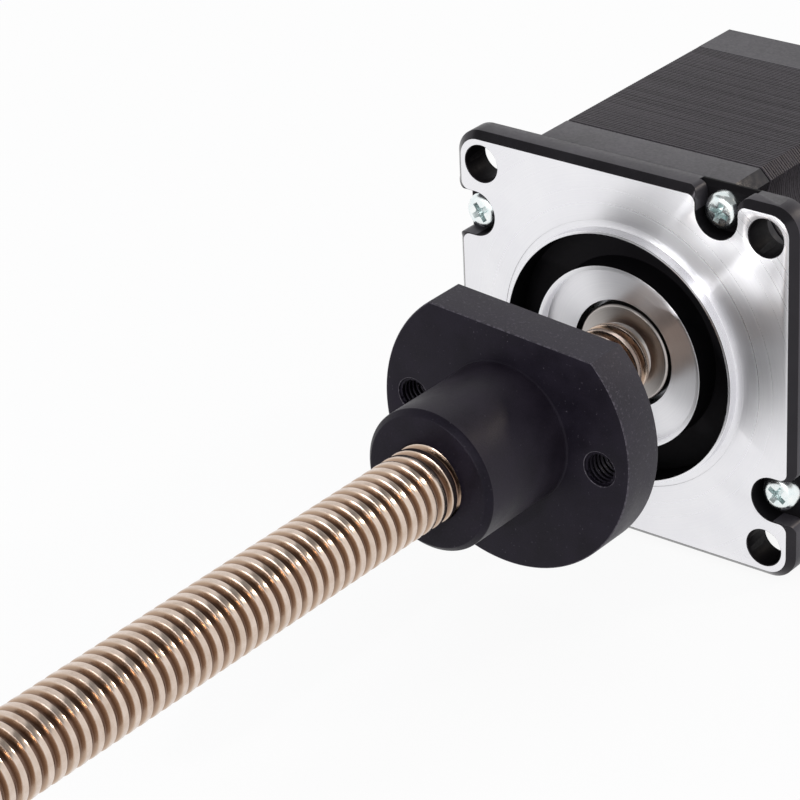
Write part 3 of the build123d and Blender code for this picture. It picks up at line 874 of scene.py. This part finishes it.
def drive_nut():
    bm = bmesh.new()
    tapped = [(-TAPPED_X, 0), (TAPPED_X, 0)]
    loops = [(nut_outline(), NUT_EDGE, NUT_EDGE)]
    loops += [(hole(TAPPED_R, centre, 40), TAPPED_EDGE, TAPPED_EDGE) for centre in tapped]
    loops += [(hole(NUT_BORE_R, (0, 0), 96), 0, 0.3)]
    # The rim and flat get the lighter copy of the plastic and the edge bands the lightest: painted light and a
    # painted highlight.
    plate(bm, loops, NUT_FLANGE_FRONT, NUT_REAR, FRONT, RIM, rear_slot=FRONT, edge_slot=EDGE)
    for face in bm.faces:
        spot = face.calc_center_median() / MM
        in_hole = near_any(spot, tapped, TAPPED_R + 0.2) or near_any(spot, [(0, 0)], NUT_BORE_R + 0.5)
        if face.material_index == RIM and in_hole:
            face.material_index = FRONT
    root_r = NUT_BARREL_R + NUT_ROOT
    buried = NUT_FLANGE_FRONT + 0.1
    turned(bm, [
        (NUT_BORE_R, NUT_FRONT), (NUT_BARREL_R - NUT_CHAMFER, NUT_FRONT),
        (NUT_BARREL_R, NUT_FRONT + NUT_CHAMFER), (NUT_BARREL_R, NUT_FLANGE_FRONT - NUT_ROOT),
        (root_r, NUT_FLANGE_FRONT), (root_r, buried), (NUT_BORE_R, buried),
    ], round_r=0.15)
    for face in bm.faces:
        spot = face.calc_center_median() / MM
        on_barrel = NUT_FRONT + 0.9 < spot.y < NUT_FLANGE_FRONT - 0.3
        if on_barrel and math.hypot(spot.x, spot.z) > NUT_BARREL_R - 0.3:
            face.material_index = BARREL
    for x, _ in tapped:
        add_tapped_thread(bm, x)
    bmesh.ops.rotate(bm, verts=bm.verts, cent=(0, 0, 0), matrix=Matrix.Rotation(NUT_TURN, 3, "Y"))
    return finished("drive_nut_body", bm, [NUT_PLASTIC, NUT_RIM_PAINTED_LIGHT, NUT_BARREL_PLASTIC, NUT_EDGE_HIGHLIGHT_AND_WEAR])


# Clamp screws: one screw with a domed head and a cross recess, repeated at the four places
def cross_outline(size):
    """Cross with rounded inner corners, clockwise."""
    arm = 1.5 * size
    half = 0.4 * size
    fillet_r = 0.35 * size
    quarter = [(arm, -half), (arm, half)] + arc(half + fillet_r, half + fillet_r, fillet_r, 270, 180, 4)
    return without_doubles(four_sides(quarter))[::-1]


# Radius and depth below the crown of the head's dome
DOME = [(1.7, 0.0), (2.1, 0.14), (2.4, 0.4), (2.6, 0.75), (TIE_HEAD_R, 1.2)]


def clamp_screw():
    bm = bmesh.new()
    profile = [(radius, TIE_CROWN + depth) for radius, depth in DOME]
    profile += [(TIE_HEAD_R, NOTCH_DEPTH), (TIE_R, NOTCH_DEPTH), (TIE_R, TIE_TIP)]
    rings = [add_ring(bm, ring(radius, 48), y) for radius, y in profile]
    for first, second in zip(rings, rings[1:]):
        add_band(bm, first, second, 0)
    mouth = add_ring(bm, cross_outline(1.0), TIE_CROWN)
    step = add_ring(bm, cross_outline(0.92), TIE_CROWN + 0.12)
    floor = add_ring(bm, cross_outline(0.5), TIE_CROWN + TIE_RECESS_DEPTH)
    add_cap(bm, [rings[0], mouth], 0)
    add_band(bm, mouth, step, 0)
    add_band(bm, step, floor, 0)
    add_cap(bm, [floor], 0)
    add_cap(bm, [rings[-1]], 0)
    bmesh.ops.recalc_face_normals(bm, faces=bm.faces)
    mesh = bpy.data.meshes.new("clamp_screw")
    bm.to_mesh(mesh)
    bm.free()
    return mesh


def pinwheel_tree():
    """Copies of a piece at four quarter turns about the axis, each turned on itself by its own angle."""
    tree, given, output = new_tree("pinwheel", {
        "Across": TIE_X * MM, "Up": TIE_Z * MM, "First turn": 0.35, "Turn step": 0.61,
    })
    joined = tree.nodes.new("GeometryNodeJoinGeometry")
    for quarter in range(4):
        further = calc(tree, "MULTIPLY", given.outputs["Turn step"], float(quarter))
        own = calc(tree, "ADD", given.outputs["First turn"], further)
        turn = tree.nodes.new("ShaderNodeCombineXYZ")
        tree.links.new(own, turn.inputs["Y"])
        place = tree.nodes.new("ShaderNodeCombineXYZ")
        tree.links.new(given.outputs["Across"], place.inputs["X"])
        tree.links.new(given.outputs["Up"], place.inputs["Z"])
        spin = tree.nodes.new("GeometryNodeTransform")
        tree.links.new(given.outputs["Geometry"], spin.inputs["Geometry"])
        tree.links.new(turn.outputs[0], spin.inputs["Rotation"])
        tree.links.new(place.outputs[0], spin.inputs["Translation"])
        swing = tree.nodes.new("GeometryNodeTransform")
        swing.inputs["Rotation"].default_value = (0, -math.pi / 2 * quarter, 0)
        tree.links.new(spin.outputs[0], swing.inputs["Geometry"])
        tree.links.new(swing.outputs[0], joined.inputs[0])
    close_tree(tree, joined.outputs[0], output, ZINC)
    return tree


def assembly_screws():
    mesh = grown("clamp_screws", pinwheel_tree(), clamp_screw(), {}, [ZINC, ZINC_RECESS_SHADE])
    # Faces in the cross recess take the darker zinc: painted shade.
    axes = four_sides([(TIE_X, TIE_Z)])
    for face in mesh.polygons:
        spot = face.center / MM
        if near_any(spot, axes, 1.55) and TIE_CROWN + 0.02 < spot.y < TIE_CROWN + 1.3:
            face.material_index = CROSS
    return placed("clamp_screws", mesh, 28)


# What stands for which CAD node, on which body
def dress(piece, body, node):
    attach(piece, body)
    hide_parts(node)


dress(front_housing(), "motor", "front_housing")
dress(core_stack(), "motor", "stator_stack")
dress(lead_screw(), "screw", "lead_screw")
dress(drive_nut(), "nut", "drive_nut")
dress(assembly_screws(), "motor", "assembly_screws")

# CAD nodes that stay get their finish
KEPT = {
    "rear_housing": SATIN_BLACK,
    "lead_grommet": RUBBER,
    "wave_washer": SPRING_STEEL,
    "terminal_board": LAMINATE,
    "front_insulator": MOULDED,
    "rear_insulator": MOULDED,
    "rotor_magnet": MAGNET,
    "rotor_cup_front": ROTOR_STEEL,
    "rotor_cup_rear": ROTOR_STEEL,
    "rotor_spacer_front": BEARING_STEEL,
    "rotor_spacer_rear": BEARING_STEEL,
}
for n in range(1, 9):
    KEPT[f"stator_coil_{n}"] = COPPER
for end in ("front", "rear"):
    for part in ("outer_ring", "inner_ring", "balls"):
        KEPT[f"{end}_bearing_{part}"] = BEARING_STEEL
    KEPT[f"{end}_bearing_shields"] = SPRING_STEEL
for node, material in KEPT.items():
    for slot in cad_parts[node].material_slots:
        slot.material = material


# Camera, fitted to the photograph: angles in degrees, and the point looked at with the distance to it
AZIMUTH, ELEVATION, ROLL = -39.189, 27.072, -2.767
TARGET = (-40.324, 0, -18.443)
DISTANCE = 499.521
FOCAL_PX = 3350.099
PHOTO_PX = 800
SENSOR_MM = 36


def place_camera():
    azimuth, elevation, roll = math.radians(AZIMUTH), math.radians(ELEVATION), math.radians(ROLL)
    flat = math.cos(elevation)
    ahead = Vector((math.sin(azimuth) * flat, math.cos(azimuth) * flat, -math.sin(elevation)))
    level = Vector((math.cos(azimuth), -math.sin(azimuth), 0))
    upright = level.cross(ahead)
    right = math.cos(roll) * level + math.sin(roll) * upright
    up = -math.sin(roll) * level + math.cos(roll) * upright
    lens = bpy.data.cameras.new("camera")
    lens.sensor_width = SENSOR_MM
    lens.lens = FOCAL_PX / PHOTO_PX * SENSOR_MM
    lens.clip_start = 0.01
    camera = bpy.data.objects.new("camera", lens)
    turn = Matrix((right, up, -ahead)).transposed().to_4x4()
    camera.matrix_world = Matrix.Translation((Vector(TARGET) - ahead * DISTANCE) * MM) @ turn
    bpy.context.collection.objects.link(camera)
    bpy.context.scene.camera = camera


def lamp(name, side, power, place, colour=(1, 1, 1)):
    """A square lamp that points at the origin."""
    data = bpy.data.lights.new(name, "AREA")
    data.shape = "RECTANGLE"
    data.size = data.size_y = side
    data.energy = power
    data.color = colour
    light = bpy.data.objects.new(name, data)
    light.location = place
    light.rotation_euler = (-Vector(place)).to_track_quat("-Z", "Y").to_euler()
    bpy.context.collection.objects.link(light)


# A plain grey room. It is white to the camera, and white in reflections up to its dim ceiling.
def studio():
    world = bpy.data.worlds.new("room")
    bpy.context.scene.world = world
    world.use_nodes = True
    tree = world.node_tree
    room = tree.nodes["Background"]
    room.inputs["Color"].default_value = (0.9, 0.92, 0.95, 1)
    room.inputs["Strength"].default_value = 0.6
    path = tree.nodes.new("ShaderNodeLightPath")
    reflected = calc(tree, "MAXIMUM", path.outputs["Is Glossy Ray"], path.outputs["Is Transmission Ray"])
    seen = calc(tree, "MAXIMUM", path.outputs["Is Camera Ray"], reflected)
    place = tree.nodes.new("ShaderNodeTexCoord")
    split = tree.nodes.new("ShaderNodeSeparateXYZ")
    tree.links.new(place.outputs["Generated"], split.inputs[0])
    ceiling = spread(tree, split.outputs["Z"], 1.0, 0.3, 0.46, 0.6)
    bright = tree.nodes.new("ShaderNodeBackground")
    bright.inputs["Color"].default_value = (1, 1, 1, 1)
    tree.links.new(calc(tree, "MAXIMUM", path.outputs["Is Camera Ray"], ceiling), bright.inputs["Strength"])
    mix = tree.nodes.new("ShaderNodeMixShader")
    tree.links.new(seen, mix.inputs[0])
    tree.links.new(room.outputs[0], mix.inputs[1])
    tree.links.new(bright.outputs[0], mix.inputs[2])
    tree.links.new(mix.outputs[0], tree.nodes["World Output"].inputs["Surface"])
    lamp("back", 0.12, 1.6, (0.5, 0.75, 0.6), colour=(1, 0.9, 0.74))
    lamp("front", 0.3, 1.6, (-0.12, -0.92, 0.36))
    lamp("spark", 0.02, 2.4, (0.15, -0.87, 0.24))
    lamp("overhead", 1.0, 1.8, (-0.4, 0.3, 0.9))


FLOOR_REACH_M = 6.0
FLOOR_GAP = 0.05
FLOOR_GLOW = 0.92


def floor_surface():
    """Pale matte floor that is nearly white to the camera and in reflections."""
    material = bpy.data.materials.new("pale_floor")
    material.use_nodes = True
    tree = material.node_tree
    tree.nodes.clear()
    output = tree.nodes.new("ShaderNodeOutputMaterial")
    matte = tree.nodes.new("ShaderNodeBsdfDiffuse")
    matte.inputs["Color"].default_value = (0.92, 0.92, 0.93, 1)
    glow = tree.nodes.new("ShaderNodeEmission")
    mix = tree.nodes.new("ShaderNodeMixShader")
    path = tree.nodes.new("ShaderNodeLightPath")
    seen = calc(tree, "MAXIMUM", path.outputs["Is Camera Ray"], path.outputs["Is Glossy Ray"])
    share = calc(tree, "MULTIPLY", seen, FLOOR_GLOW)
    glow.inputs["Strength"].default_value = 1.0
    tree.links.new(share, mix.inputs[0])
    tree.links.new(matte.outputs[0], mix.inputs[1])
    tree.links.new(glow.outputs[0], mix.inputs[2])
    tree.links.new(mix.outputs[0], output.inputs["Surface"])
    return material


def floor():
    mesh = bpy.data.meshes.new("floor")
    low = -(HALF + FLOOR_GAP) * MM
    corners = [(-1, -1), (1, -1), (1, 1), (-1, 1)]
    points = [(x * FLOOR_REACH_M, y * FLOOR_REACH_M, low) for x, y in corners]
    mesh.from_pydata(points, [], [(0, 1, 2, 3)])
    mesh.materials.append(floor_surface())
    plane = bpy.data.objects.new("floor", mesh)
    bpy.context.collection.objects.link(plane)


place_camera()
studio()
floor()
bpy.context.scene.view_settings.view_transform = "Standard"
